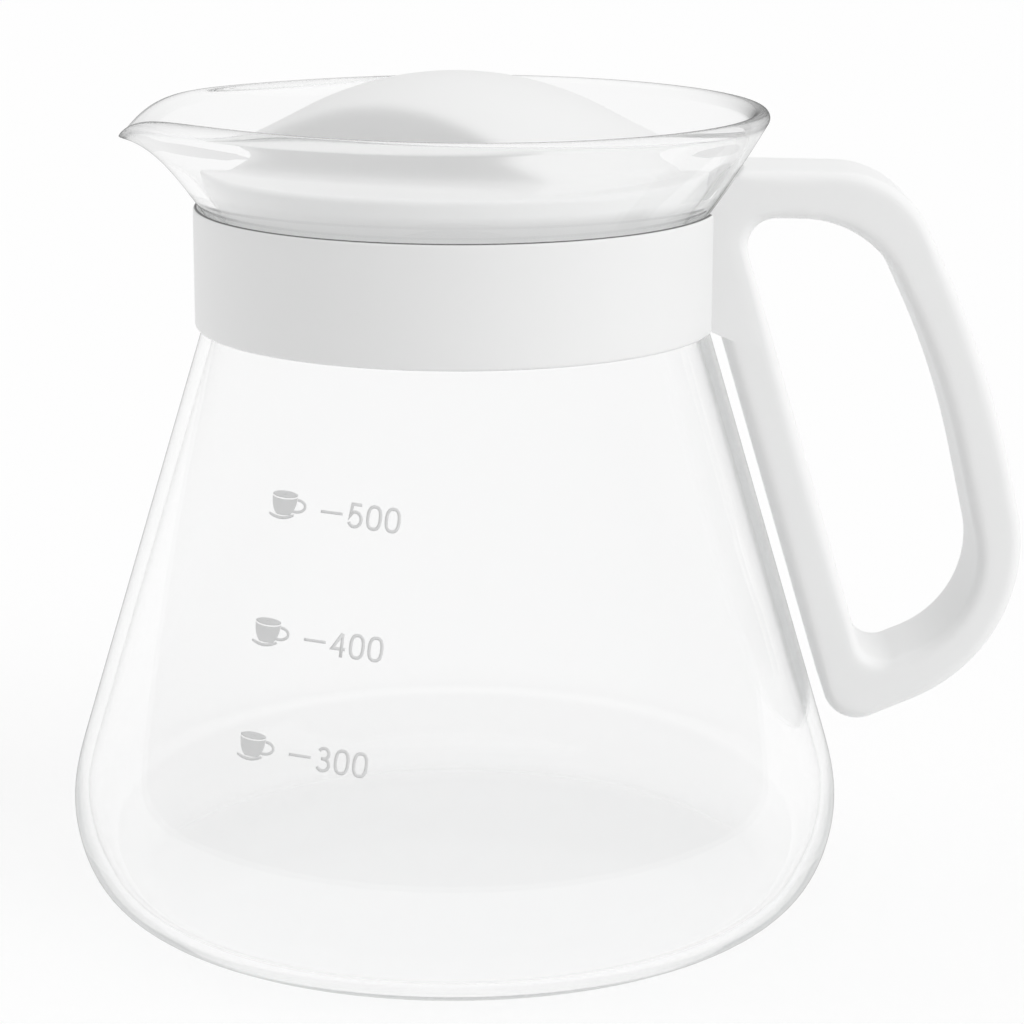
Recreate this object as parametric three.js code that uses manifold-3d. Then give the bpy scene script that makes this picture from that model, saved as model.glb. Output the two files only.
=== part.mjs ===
// Conical glass coffee jug: a blown glass vessel with a drawn spout, a plastic band clasped round its
// waist, a closed loop handle that the ends of the band hook into, and a lift-off lid with a domed grip.
// Millimetres. The vessel's axis is +Z and it stands on z = 0, the spout points to -X, the handle to +X.
import * as THREE from 'three';
import { mergeVertices } from 'three/addons/utils/BufferGeometryUtils.js';
import Module from 'manifold-3d';

// Glass vessel
const bodyRadius = 57; // widest outside radius, just above the base
const heelAcross = 10.6; // the rounded heel between base and side: its half axis across
const heelUp = 14.9; // and its half axis upwards
const sideLean = 16.8; // degrees that the side leans in from upright
const waistHeight = 95.6; // the narrowest place
const waistFillet = 11; // radius of the hollow curve round the waist
const flareAngle = 36; // degrees from upright where the mouth leaves the waist's curve
const rimFlare = 10.8; // how far the lip stands out beyond the waist
const rimRise = 21.4; // top of the lip above the waist
const glassWall = 1.8;
const baseWall = 2.4;
const lipThickness = 2.3; // the fire-polished bead round the lip
const lipStart = 0.6; // share of the mouth's height where the wall begins to thicken towards it
const spoutReach = 3.8; // how far the spout is drawn out
const spoutSpread = 33; // degrees to either side over which it is drawn out
const spoutPinch = 1.1; // how strongly the lip is squeezed in beside it, as a share of the reach
const spoutDip = 4.4; // how far its tip is drawn down
const spoutDipSpread = 10.5; // degrees to either side of the dip
const spoutGrowth = 2.8; // power by which the drawing grows from the neck up to the lip

// Clearance between pieces that touch
const seatGap = 0.3;

// Band round the waist
const bandBelow = 9.9; // lower edge below the waist
const bandAbove = 7.3; // upper edge above the waist
const bandEdge = 0.6; // thickness at the thin edges
const bandRound = 0.5; // rounding of the outer edges
const hookLength = 3.4; // tongue that reaches into the handle
const hookThickness = 1.5;
const hookHeight = 5;
const barbDepth = 0.9; // step at the tongue's tip that catches behind the handle's wall
const barbLength = 1.2;

// Handle
const strap = 6.4; // thickness of the loop, seen from the side
const handleWidth = 17.5; // width of the loop, seen from behind
const handleRound = 2.4; // rounding of its long edges
const stemGap = 1.8; // from the glass side to the stem that runs down along it
const armRise = 6.2; // top of the upper arm above the band
const armFall = 0.5; // how much lower the arm is at the elbow
const elbowReach = 25.8; // corner of the elbow, out from the band
const gripReach = 39.2; // bend in the middle of the grip, out from the band
const gripDrop = 5.1; // and below the band
const fistReach = 48.8; // lower outer corner, out from the band
const fistRise = 13; // and above the heel of the loop
const loopFoot = 26.2; // height of the loop's lowest corner
const elbowRound = 14; // rounding of the loop's corners outside, and below of the finger hole's
const fistRound = 25;
const footRound = 5;
const elbowHoleRound = 15.8;
const fistHoleRound = 15.3;
const stemHoleRound = 4; // both corners beside the stem
const gripEase = 0.75; // share of the straight sides beside the grip's bend that the bend takes up

// Lid
const lidSeat = 10.6; // height above the waist where the lid's edge meets the mouth
const lidEdge = 1.95; // upright part of the edge
const lidRound = 0.9; // rounding above it
const lidWall = 1.8;
const skirtDepth = 8.5; // plug below the seat
const domeRadius = 32.2; // the dome's foot on the flat ledge
const domeRise = 12.8;
const domeFoot = 2.1; // height of the foot, by which the dome is fuller there than a ball's cap
const domeBlend = 10; // how far in from the foot that fullness begins
const domeRound = 1; // how far in from the foot its edge is rounded
const gripOffset = 18.5; // from the axis to the foot of the upright face that fingers press on
const gripTurn = 32.3; // degrees that this face is turned from the front towards the spout
const gripLean = 7; // degrees that it leans back

// Fineness of the round surfaces
const aroundSteps = 60;
const heelSteps = 7;
const waistSteps = 6;
const mouthSteps = 7;
const lipSteps = 5;
const cornerSteps = 10;
const bevelSteps = 4;
const domeSteps = 8;
const roundSteps = 3;

const wasm = await Module();
wasm.setup();

const radians = THREE.MathUtils.degToRad;
const bandBottom = waistHeight - bandBelow;
const bandTop = waistHeight + bandAbove;
const rimHeight = waistHeight + rimRise;
const farOut = 2 * (bodyRadius + fistReach); // larger than anything on the jug

// A closed geometry as a solid: shared corners merged, slivers at the axis dropped
function toSolid(geometry) {
  const bare = geometry.clone();
  bare.deleteAttribute('normal');
  bare.deleteAttribute('uv');
  const merged = mergeVertices(bare, 1e-4);
  const index = merged.index.array;
  const kept = [];
  for (let i = 0; i < index.length; i += 3) {
    const [a, b, c] = index.slice(i, i + 3);
    if (a !== b && b !== c && c !== a) kept.push(a, b, c);
  }
  const vertProperties = Float32Array.from(merged.attributes.position.array);
  return new wasm.Manifold(new wasm.Mesh({ numProp: 3, vertProperties, triVerts: Uint32Array.from(kept) }));
}

// A solid as a geometry again
function toGeometry(solid) {
  const mesh = solid.getMesh();
  const geometry = new THREE.BufferGeometry();
  geometry.setAttribute('position', new THREE.BufferAttribute(mesh.vertProperties, 3));
  geometry.setIndex(new THREE.BufferAttribute(mesh.triVerts, 1));
  geometry.computeVertexNormals();
  return geometry;
}

// A profile of (radius, height) points turned round the vessel's axis
function revolve(profile) {
  const points = profile.map((p) => new THREE.Vector2(Math.max(p.x, 0), p.y));
  return new THREE.LatheGeometry(points, aroundSteps).rotateX(Math.PI / 2);
}

// An outline drawn in (x, z) and made as wide as given across y, middle at y = 0
function acrossY(shape, width, bevel = 0) {
  const geometry = new THREE.ExtrudeGeometry(shape, {
    depth: width - 2 * bevel,
    curveSegments: cornerSteps / 2,
    bevelEnabled: bevel > 0,
    bevelThickness: bevel,
    bevelSize: bevel,
    bevelOffset: -bevel,
    bevelSegments: bevelSteps,
  });
  return geometry.translate(0, 0, bevel - width / 2).rotateX(Math.PI / 2);
}

// An outline drawn in plan (x, y) and made upright between two heights
function upright(shape, low, high) {
  return new THREE.ExtrudeGeometry(shape, { depth: high - low, bevelEnabled: false }).translate(0, 0, low);
}

const outline = (points) => new THREE.Shape(points.map(([x, y]) => new THREE.Vector2(x, y)));

// The outside of the glass from the edge of its flat base up to the lip, as points with outward normals
// and the wall's thickness there. The heel is an ellipse, the side a straight line tangent to it, the
// waist a hollow arc tangent to the side, and the mouth a quadratic curve tangent to the waist.
function glassSide() {
  const side = [];
  const add = (r, z, nr, nz, wall) => {
    side.push({ at: new THREE.Vector2(r, z), normal: new THREE.Vector2(nr, nz).normalize(), wall });
  };
  const lean = radians(sideLean);
  const heelCentre = bodyRadius - heelAcross;
  const heelEnd = Math.atan2(heelUp * Math.sin(lean), heelAcross * Math.cos(lean));
  for (let i = 0; i <= heelSteps; i++) {
    const share = i / heelSteps;
    const turn = THREE.MathUtils.lerp(-Math.PI / 2, heelEnd, share);
    const wall = THREE.MathUtils.lerp(baseWall, glassWall, share);
    const [across, up] = [Math.cos(turn), Math.sin(turn)];
    add(heelCentre + heelAcross * across, heelUp * (1 + up), across / heelAcross, up / heelUp, wall);
  }
  const heelTop = side[heelSteps].at;
  const sideEnd = waistHeight - waistFillet * Math.sin(lean);
  const sideEndRadius = heelTop.x - (sideEnd - heelTop.y) * Math.tan(lean);
  const filletCentre = sideEndRadius + waistFillet * Math.cos(lean);
  for (let i = 0; i <= waistSteps; i++) {
    const turn = THREE.MathUtils.lerp(-lean, radians(flareAngle), i / waistSteps);
    const [across, up] = [Math.cos(turn), Math.sin(turn)];
    add(filletCentre - waistFillet * across, waistHeight + waistFillet * up, across, -up, glassWall);
  }
  const start = side[side.length - 1].at;
  const rim = filletCentre - waistFillet + rimFlare;
  const bead = new THREE.Vector2(rim - lipThickness / 2, rimHeight - lipThickness / 2);
  const chord = bead.clone().sub(start).setLength(lipThickness / 2);
  const end = new THREE.Vector2(bead.x + chord.y, bead.y - chord.x);
  const heading = new THREE.Vector2(Math.sin(radians(flareAngle)), Math.cos(radians(flareAngle)));
  const control = start.clone().addScaledVector(heading, start.distanceTo(end) / 2);
  const mouth = new THREE.QuadraticBezierCurve(start, control, end);
  for (let i = 1; i <= mouthSteps; i++) {
    const share = i / mouthSteps;
    const at = mouth.getPoint(share);
    const along = mouth.getTangent(share);
    const swell = THREE.MathUtils.smoothstep(share, lipStart, 1);
    add(at.x, at.y, along.y, -along.x, THREE.MathUtils.lerp(glassWall, lipThickness, swell));
  }
  return side;
}

const side = glassSide();
const waistRadius = Math.min(...side.slice(heelSteps).map((p) => p.at.x));

// The glass outside moved outwards by a distance, or inwards through the wall and then by a distance
const outside = (distance) => side.map((p) => p.at.clone().addScaledVector(p.normal, distance));
const inside = (distance) => side.map((p) => p.at.clone().addScaledVector(p.normal, -p.wall - distance));

// The stretch of a rising curve between two heights, with its ends worked out on the curve
function between(curve, low, high) {
  const onCurve = (height) => {
    const next = Math.max(1, curve.findIndex((p) => p.y >= height));
    const [a, b] = [curve[next - 1], curve[next]];
    return a.clone().lerp(b, (height - a.y) / (b.y - a.y));
  };
  const inner = curve.filter((p) => p.y > low + seatGap / 2 && p.y < high - seatGap / 2);
  return [onCurve(low), ...inner, onCurve(high)];
}

// Points on a quarter round about a centre, from one angle to another
function arc(x, y, radius, from, to, steps) {
  const points = [];
  for (let i = 0; i <= steps; i++) {
    const turn = THREE.MathUtils.lerp(from, to, i / steps);
    points.push(new THREE.Vector2(x + radius * Math.cos(turn), y + radius * Math.sin(turn)));
  }
  return points;
}

// The spout: the mouth is drawn out and down round -X, more the higher up, and pinched in beside it
function drawSpout(geometry) {
  const position = geometry.attributes.position;
  for (let i = 0; i < position.count; i++) {
    const [x, y, z] = [position.getX(i), position.getY(i), position.getZ(i)];
    const height = THREE.MathUtils.clamp((z - bandTop) / (rimHeight - bandTop), 0, 1);
    const radius = Math.hypot(x, y);
    if (height === 0 || radius === 0) continue;
    const aside = Math.atan2(y, -x);
    const wide = (aside / radians(spoutSpread)) ** 2;
    const narrow = (aside / radians(spoutDipSpread)) ** 2;
    const drawn = height ** spoutGrowth;
    const out = spoutReach * Math.exp(-wide / 2) * (drawn - spoutPinch * wide * drawn ** 2);
    const grown = 1 + out / radius;
    position.setXYZ(i, x * grown, y * grown, z - spoutDip * Math.exp(-narrow / 2) * drawn);
  }
  return geometry;
}

function glassVessel() {
  const lip = side[side.length - 1];
  const centre = lip.at.clone().addScaledVector(lip.normal, -lip.wall / 2);
  const facing = lip.normal.angle();
  const bead = arc(centre.x, centre.y, lip.wall / 2, facing, facing + Math.PI, lipSteps).slice(1, -1);
  const profile = [new THREE.Vector2(0, 0), ...outside(0), ...bead, ...inside(0).reverse()];
  profile.push(new THREE.Vector2(0, baseWall));
  return drawSpout(revolve(profile));
}

// The vessel as a plain plug, grown by the seat's clearance, to cut what stands against it
function vesselPlug() {
  const wall = outside(seatGap);
  const top = rimHeight + lipThickness;
  const lip = wall[wall.length - 1];
  const cap = [new THREE.Vector2(lip.x, top), new THREE.Vector2(0, top)];
  return toSolid(revolve([new THREE.Vector2(0, -seatGap), ...wall, ...cap]));
}

const plug = vesselPlug();
const rootHalf = handleWidth / 2;
const seat = between(outside(seatGap), bandBottom, bandTop);
const bandRadius = Math.max(seat[0].x, seat[seat.length - 1].x) + bandEdge;

// A tongue of the band in plan, on the side given by its sign, with the barb at its tip turned outwards.
// Grown by a clearance and taken in to the axis, the same outline is the slot that it snaps into.
function hookOutline(sign, inner, clearance) {
  const outer = waistRadius + seatGap + hookThickness + clearance;
  const root = rootHalf + seatGap + hookThickness;
  const tip = rootHalf - hookLength - clearance;
  const barb = rootHalf - hookLength + barbLength + clearance;
  return outline([
    [inner, sign * root],
    [inner, sign * tip],
    [outer + barbDepth, sign * tip],
    [outer + barbDepth, sign * barb],
    [outer, sign * barb],
    [outer, sign * root],
  ]);
}

function hook(sign, inner, clearance) {
  const reach = hookHeight / 2 + clearance;
  return toSolid(upright(hookOutline(sign, inner, clearance), waistHeight - reach, waistHeight + reach));
}

const tongue = (sign) => hook(sign, waistRadius + seatGap, 0).subtract(plug);
const slot = (sign) => hook(sign, 0, seatGap);

// The band hugs the waist inside and is a plain cylinder outside, open where the handle's root sits
function neckBand() {
  const flank = bandRadius - bandRound;
  const profile = [
    ...seat.slice().reverse(),
    ...arc(flank, bandBottom + bandRound, bandRound, -Math.PI / 2, 0, roundSteps),
    ...arc(flank, bandTop - bandRound, bandRound, 0, Math.PI / 2, roundSteps),
    seat[seat.length - 1],
  ];
  const mouth = rootHalf + seatGap;
  const gap = outline([[0, -mouth], [farOut, -mouth], [farOut, mouth], [0, mouth]]);
  const ring = toSolid(revolve(profile)).subtract(toSolid(upright(gap, 0, rimHeight)));
  return toGeometry(ring.add(tongue(1)).add(tongue(-1)));
}

// A polygon's corners moved inwards along with its edges; the corners run counter-clockwise
function movedIn(corners, distance) {
  const lines = corners.map((a, i) => {
    const b = corners[(i + 1) % corners.length];
    const along = b.clone().sub(a).normalize();
    const inward = new THREE.Vector2(-along.y, along.x);
    return { at: a.clone().addScaledVector(inward, distance), along };
  });
  return lines.map((line, i) => {
    const before = lines[(i + lines.length - 1) % lines.length];
    const reach = line.at.clone().sub(before.at).cross(line.along) / before.along.cross(line.along);
    return before.at.clone().addScaledVector(before.along, reach);
  });
}

// The corner of a polygon with the directions back and on along its edges, and half the angle between them
function cornerAt(corners, i) {
  const at = corners[i];
  const before = corners[(i + corners.length - 1) % corners.length];
  const after = corners[(i + 1) % corners.length];
  const back = before.clone().sub(at).normalize();
  const on = after.clone().sub(at).normalize();
  return { at, back, on, half: Math.acos(back.dot(on)) / 2 };
}

// The radius of a shallow bend that takes up a share of what its neighbours' roundings leave of its edges
function easedRadius(corners, radii, i, share) {
  const free = [i - 1, i + 1].map((k) => {
    const taken = radii[k] / Math.tan(cornerAt(corners, k).half);
    return corners[i].distanceTo(corners[k]) - taken;
  });
  return share * Math.min(...free) * Math.tan(cornerAt(corners, i).half);
}

// A polygon with each corner rounded by its own radius
function rounded(path, corners, radii) {
  corners.forEach((_, i) => {
    const { at, back, on, half } = cornerAt(corners, i);
    const centre = back.clone().add(on).setLength(radii[i] / Math.sin(half)).add(at);
    const tangent = radii[i] / Math.tan(half);
    const from = back.clone().multiplyScalar(tangent).add(at).sub(centre).angle();
    const to = on.clone().multiplyScalar(tangent).add(at).sub(centre).angle();
    path.absarc(centre.x, centre.y, radii[i], from, to, back.cross(on) > 0);
  });
  path.closePath();
  return path;
}

// The stem's glass side at a height: a line along the leaning side, a gap away from it
function stemAt(height) {
  const lean = radians(sideLean);
  const heelTop = side[heelSteps].at;
  const glass = heelTop.x - (height - heelTop.y) * Math.tan(lean);
  return new THREE.Vector2(glass + stemGap / Math.cos(lean), height);
}

// The handle is a flat strap bent into a closed loop. Its root fills the opening of the band, is hollowed
// to the waist and has a slot on either side for the band's tongues.
function handle() {
  const armTop = bandTop + armRise;
  const corners = [
    stemAt(loopFoot),
    new THREE.Vector2(bandRadius + fistReach, loopFoot + fistRise),
    new THREE.Vector2(bandRadius + gripReach, bandBottom - gripDrop),
    new THREE.Vector2(bandRadius + elbowReach, armTop - armFall),
    stemAt(armTop),
  ];
  const grip = 2;
  const radii = [footRound, fistRound, 0, elbowRound, footRound];
  radii[grip] = easedRadius(corners, radii, grip, gripEase);
  const holeCorners = movedIn(corners, strap);
  const holeRadii = [stemHoleRound, fistHoleRound, 0, elbowHoleRound, stemHoleRound];
  holeRadii[grip] = easedRadius(holeCorners, holeRadii, grip, gripEase);
  const loop = rounded(new THREE.Shape(), corners, radii);
  loop.holes.push(rounded(new THREE.Path(), holeCorners, holeRadii));
  const middle = strap / 2 / Math.cos(radians(sideLean));
  const root = outline([
    [0, bandBottom],
    [stemAt(bandBottom).x + middle, bandBottom],
    [stemAt(bandTop).x + middle, bandTop],
    [0, bandTop],
  ]);
  const solid = toSolid(acrossY(loop, handleWidth, handleRound)).add(toSolid(acrossY(root, handleWidth)));
  return toGeometry(solid.subtract(plug).subtract(slot(1)).subtract(slot(-1)));
}

// The space in front of the grip's face, above a level: a long wedge with one leaning side
function gripSpace(offset, level) {
  const back = domeRise * 2 * Math.tan(radians(gripLean));
  const wedge = outline([
    [offset, level],
    [farOut, level],
    [farOut, level + domeRise * 2],
    [offset - back, level + domeRise * 2],
  ]);
  return toSolid(acrossY(wedge, farOut).rotateZ(radians(-90 - gripTurn)));
}

// Height of the dome over the ledge: a ball's cap, lifted by a square law towards its foot and closed there
// by a quarter of an ellipse
function domeHeight(radius) {
  const ball = (domeRadius ** 2 + domeRise ** 2) / (2 * domeRise);
  const cap = Math.sqrt(ball ** 2 - radius ** 2) - (ball - domeRise);
  const near = THREE.MathUtils.clamp(1 - (domeRadius - radius) / domeBlend, 0, 1);
  const edge = THREE.MathUtils.clamp(1 - (domeRadius - radius) / domeRound, 0, 1);
  return (cap + domeFoot * near ** 2) * Math.sqrt(1 - edge ** 2);
}

// Points of the dome from its foot to its crown, for a shell set in by a thickness
function domeArc(ledge, thickness) {
  const radii = arc(domeRadius - domeRound, 0, domeRound, 0, Math.PI / 2, roundSteps).map((p) => p.x);
  const crown = radii.pop();
  for (let i = 0; i <= domeSteps; i++) radii.push(crown * (1 - i / domeSteps));
  const within = 1 - thickness / domeRadius;
  return radii.map((r) => new THREE.Vector2(r * within, ledge + domeHeight(r) - thickness));
}

// The lid is a thin moulding: a tapered plug that seats in the mouth, a flat ledge with a rounded edge,
// and a dome on an upright foot, cut off by the face that the fingers press on. It is hollow underneath.
function lid() {
  const seatHeight = waistHeight + lidSeat;
  const skirtFoot = seatHeight - skirtDepth;
  const skirt = between(inside(seatGap), skirtFoot, seatHeight);
  const lidRadius = skirt[skirt.length - 1].x;
  const ledge = seatHeight + lidEdge + lidRound;
  const edge = arc(lidRadius - lidRound, ledge - lidRound, lidRound, 0, Math.PI / 2, roundSteps);
  const bottom = new THREE.Vector2(0, skirtFoot);
  const outer = toSolid(revolve([bottom, ...skirt, ...edge, ...domeArc(ledge, 0)]));
  const innerSkirt = between(inside(seatGap + lidWall), skirtFoot - lidWall, seatHeight);
  const roof = new THREE.Vector2(innerSkirt[innerSkirt.length - 1].x, ledge - lidWall);
  const below = new THREE.Vector2(0, skirtFoot - lidWall);
  const inner = toSolid(revolve([below, ...innerSkirt, roof, ...domeArc(ledge, lidWall)]));
  const shell = outer.subtract(gripSpace(gripOffset, ledge));
  return toGeometry(shell.subtract(inner.subtract(gripSpace(gripOffset - lidWall, ledge - lidWall))));
}

const clearGlass = () => new THREE.MeshStandardMaterial({
  color: 0xf3f6f6, roughness: 0.03, metalness: 0, transparent: true, opacity: 0.35,
});
const whitePlastic = () => new THREE.MeshStandardMaterial({ color: 0xf1f1f0, roughness: 0.42, metalness: 0 });

const jug = new THREE.Group();

function addPiece(name, geometry, material) {
  const piece = new THREE.Mesh(geometry, material);
  piece.name = name;
  jug.add(piece);
}

addPiece('glass_vessel', glassVessel(), clearGlass());
addPiece('neck_band', neckBand(), whitePlastic());
addPiece('handle', handle(), whitePlastic());
addPiece('lid', lid(), whitePlastic());

export default jug;
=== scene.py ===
import math

import bmesh
import bpy
import numpy as np
from mathutils import Matrix


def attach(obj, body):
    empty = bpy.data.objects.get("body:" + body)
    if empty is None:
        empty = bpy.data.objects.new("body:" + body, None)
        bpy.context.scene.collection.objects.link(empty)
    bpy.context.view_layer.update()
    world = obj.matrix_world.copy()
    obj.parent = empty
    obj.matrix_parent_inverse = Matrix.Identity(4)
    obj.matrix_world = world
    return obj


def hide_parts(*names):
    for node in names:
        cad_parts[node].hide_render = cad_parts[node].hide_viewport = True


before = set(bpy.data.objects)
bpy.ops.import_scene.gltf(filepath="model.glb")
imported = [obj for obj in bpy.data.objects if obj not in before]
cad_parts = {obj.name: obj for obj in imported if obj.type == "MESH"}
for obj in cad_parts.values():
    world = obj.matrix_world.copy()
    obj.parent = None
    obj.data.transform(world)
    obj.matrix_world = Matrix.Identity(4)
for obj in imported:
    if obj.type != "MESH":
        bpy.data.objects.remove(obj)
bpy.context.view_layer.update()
print("frame loaded:", ", ".join(sorted(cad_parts)))

mm = 0.001  # every shape below is worked out in millimetres
mergeReach = 0.002 * mm  # points closer than this are one
scene = bpy.context.scene


# Quads between neighbouring points of a grid that is stored row by row.
# A wrapped direction also joins its last line to its first.
def gridFaces(rows, columns, wrapRows=False, wrapColumns=False):
    row = np.arange(rows if wrapRows else rows - 1)[:, None]
    column = np.arange(columns if wrapColumns else columns - 1)[None, :]
    nextRow, nextColumn = (row + 1) % rows, (column + 1) % columns
    corners = (row * columns + column, row * columns + nextColumn,
               nextRow * columns + nextColumn, nextRow * columns + column)
    return np.stack(np.broadcast_arrays(*corners), -1).reshape(-1, 4)


# A mesh object at the origin: doubles merged, faces turned outwards, smooth but for its real edges.
# Marks are values for each point that a material reads.
def makePiece(name, points, faces, material, sharp=38, turnFaces=True, marks=None):
    mesh = bpy.data.meshes.new(name)
    mesh.from_pydata((np.reshape(points, (-1, 3)) * mm).tolist(), [], faces)
    for mark, values in (marks or {}).items():
        layer = mesh.attributes.new(mark, "FLOAT", "POINT")
        layer.data.foreach_set("value", np.ravel(values).astype(np.float32))
    work = bmesh.new()
    work.from_mesh(mesh)
    bmesh.ops.remove_doubles(work, verts=work.verts, dist=mergeReach)
    if turnFaces:
        bmesh.ops.recalc_face_normals(work, faces=work.faces)
    work.to_mesh(mesh)
    work.free()
    mesh.shade_smooth()
    mesh.set_sharp_from_angle(angle=math.radians(sharp))
    mesh.materials.append(material)
    piece = bpy.data.objects.new(name, mesh)
    scene.collection.objects.link(piece)
    return piece


# A smooth step from 0 to 1 between two values.
def eased(value, low, high):
    share = np.clip((value - low) / (high - low), 0, 1)
    return share * share * (3 - 2 * share)


# Evenly spaced values averaged by a bell whose width is given in steps. Beyond its ends the line goes on as
# its own picture turned about the last point, so the ends stay where they are.
def bellMean(values, width):
    reach = int(4 * width) + 1
    bell = np.exp(-0.5 * (np.arange(-reach, reach + 1) / width) ** 2)
    before, after = 2 * values[0] - values[reach:0:-1], 2 * values[-1] - values[-2:-reach - 2:-1]
    return np.convolve(np.concatenate([before, values, after]), bell / bell.sum(), "valid")


# Several grids of points as one list of points and faces.
def joined(parts):
    points, faces, count = [], [], 0
    for grid, quads in parts:
        flat = np.reshape(grid, (-1, 3))
        points.append(flat)
        faces += (np.asarray(quads) + count).tolist()
        count += len(flat)
    return np.concatenate(points), faces


# Materials

grainLook = {
    "broadScale": 38.0, "broadDetail": 3.0,  # clouds about 25 mm across
    "fineScale": 2600.0, "fineDetail": 2.0,  # grain about 0.4 mm across
}


# Shared by all finishes: a broad cloud that varies tone, and a fine grain for the surface's height.
def surfaceGroup():
    group = bpy.data.node_groups.new("surfaceGrain", "ShaderNodeTree")
    group.interface.new_socket("Broad Scale", in_out="INPUT", socket_type="NodeSocketFloat")
    group.interface.new_socket("Fine Scale", in_out="INPUT", socket_type="NodeSocketFloat")
    group.interface.new_socket("Cloud", in_out="OUTPUT", socket_type="NodeSocketFloat")
    group.interface.new_socket("Grain", in_out="OUTPUT", socket_type="NodeSocketFloat")
    nodes, links = group.nodes, group.links
    entry, leave = nodes.new("NodeGroupInput"), nodes.new("NodeGroupOutput")
    place = nodes.new("ShaderNodeTexCoord")
    for kind, output in (("Broad", "Cloud"), ("Fine", "Grain")):
        noise = nodes.new("ShaderNodeTexNoise")
        noise.inputs["Detail"].default_value = grainLook[kind.lower() + "Detail"]
        links.new(place.outputs["Object"], noise.inputs["Vector"])
        links.new(entry.outputs[kind + " Scale"], noise.inputs["Scale"])
        links.new(noise.outputs["Fac"], leave.inputs[output])
    return group


grainGroup = surfaceGroup()


# A Principled material whose tone and roughness follow the cloud and whose surface follows the grain.
def makeMaterial(name, look):
    material = bpy.data.materials.new(name)
    material.use_nodes = True
    nodes, links = material.node_tree.nodes, material.node_tree.links
    shader = nodes["Principled BSDF"]
    grain = nodes.new("ShaderNodeGroup")
    grain.node_tree = grainGroup
    grain.inputs["Broad Scale"].default_value = look.get("broadScale", grainLook["broadScale"])
    grain.inputs["Fine Scale"].default_value = grainLook["fineScale"]
    tone = nodes.new("ShaderNodeMix")
    tone.data_type = "RGBA"
    tone.inputs["A"].default_value = (*look["tones"][0], 1)
    tone.inputs["B"].default_value = (*look["tones"][1], 1)
    links.new(grain.outputs["Cloud"], tone.inputs["Factor"])
    links.new(tone.outputs["Result"], shader.inputs["Base Color"])
    gloss = nodes.new("ShaderNodeMapRange")
    gloss.inputs["To Min"].default_value, gloss.inputs["To Max"].default_value = look["roughness"]
    links.new(grain.outputs["Cloud"], gloss.inputs["Value"])
    links.new(gloss.outputs["Result"], shader.inputs["Roughness"])
    bump = nodes.new("ShaderNodeBump")
    bump.inputs["Strength"].default_value = look["bump"]
    bump.inputs["Distance"].default_value = look["bumpDepth"] * mm
    links.new(grain.outputs[look.get("bumpFrom", "Grain")], bump.inputs["Height"])
    links.new(bump.outputs["Normal"], shader.inputs["Normal"])
    for socket, value in look["plain"].items():
        shader.inputs[socket].default_value = value
    return material


plasticLook = {
    "tones": ((0.855, 0.857, 0.855), (0.885, 0.886, 0.884)),
    "roughness": (0.36, 0.46),
    "bump": 0.12,
    "bumpDepth": 0.05,
    "plain": {"IOR": 1.46},
    "passes": 0.6,  # share of the light that goes on through each skin of the thin white plastic
}
# painted light: the handle is the same white plastic in a lighter tone, brightened to stand in for light on
# its faces
handleLook = {
    **plasticLook,
    "tones": ((0.9, 0.902, 0.9), (0.93, 0.931, 0.929)),
    "passes": 0.85,
}
bandLook = {
    **plasticLook,
    "passes": 0.95,
    "paintedGapShade": (0.1, 0.1, 0.1),  # painted shade: the gap between the band's upper edge and the glass, as a dark colour
}
inkLook = {
    "tones": ((0.73, 0.733, 0.733), (0.77, 0.773, 0.773)),
    "roughness": (0.4, 0.55),
    "bump": 0.2,
    "bumpDepth": 0.01,
    "broadScale": 700.0,
    "plain": {"IOR": 1.5},
}
glassLook = {
    "tones": ((0.996, 0.997, 0.997), (1.0, 1.0, 1.0)),
    "roughness": (0.0, 0.006),
    "bump": 0.05,
    "bumpDepth": 0.3,
    "bumpFrom": "Cloud",
    "plain": {"IOR": 1.47, "Transmission Weight": 1.0},
    "clear": (0.978, 0.98, 0.98),  # what passes to the surfaces behind
    "trapped": ((0.86, 0.865, 0.865), (0.985, 0.986, 0.986)),  # what is left of a ray caught in body, mouth
    "deepest": {"Glossy Depth": (3.5, 0.5), "Ray Depth": (10.5, 8.5)},  # past these it is caught: body, mouth
    "outline": ((0.42, 0.425, 0.425), (0.08, 0.082, 0.082)),  # painted shade where the glass is seen edge on, in place of the darker surroundings real glass bends in there: wall, lip
    "outlinePower": (17.0, 4.0),  # how narrow that outline is: wall, lip
}


# A Math node between sockets and plain numbers.
def mathNode(material, operation, *terms):
    node = material.node_tree.nodes.new("ShaderNodeMath")
    node.operation = operation
    for entry, term in zip(node.inputs, terms):
        if isinstance(term, float):
            entry.default_value = term
        else:
            material.node_tree.links.new(term, entry)
    return node.outputs[0]


# The value that a piece's points carry under a mark.
def markNode(material, mark):
    node = material.node_tree.nodes.new("ShaderNodeAttribute")
    node.attribute_name = mark
    return node.outputs["Fac"]


# A Light Path node, and a socket that is 1 for rays that carry light to other surfaces.
def lightPath(material):
    path = material.node_tree.nodes.new("ShaderNodeLightPath")
    return path, mathNode(material, "MAXIMUM", path.outputs["Is Shadow Ray"], path.outputs["Is Diffuse Ray"])


# Mixes the material's Principled shader with a Transparent one, which is returned.
def mixClear(material, factor):
    nodes, links = material.node_tree.nodes, material.node_tree.links
    clear, mix = nodes.new("ShaderNodeBsdfTransparent"), nodes.new("ShaderNodeMixShader")
    links.new(factor, mix.inputs["Fac"])
    links.new(nodes["Principled BSDF"].outputs["BSDF"], mix.inputs[1])
    links.new(clear.outputs["BSDF"], mix.inputs[2])
    links.new(mix.outputs["Shader"], nodes["Material Output"].inputs["Surface"])
    return clear


# A value that goes from one number to another by a factor.
def valueBetween(material, factor, first, second):
    node = material.node_tree.nodes.new("ShaderNodeMapRange")
    node.inputs["To Min"].default_value, node.inputs["To Max"].default_value = first, second
    material.node_tree.links.new(factor, node.inputs["Value"])
    return node.outputs["Result"]


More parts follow.
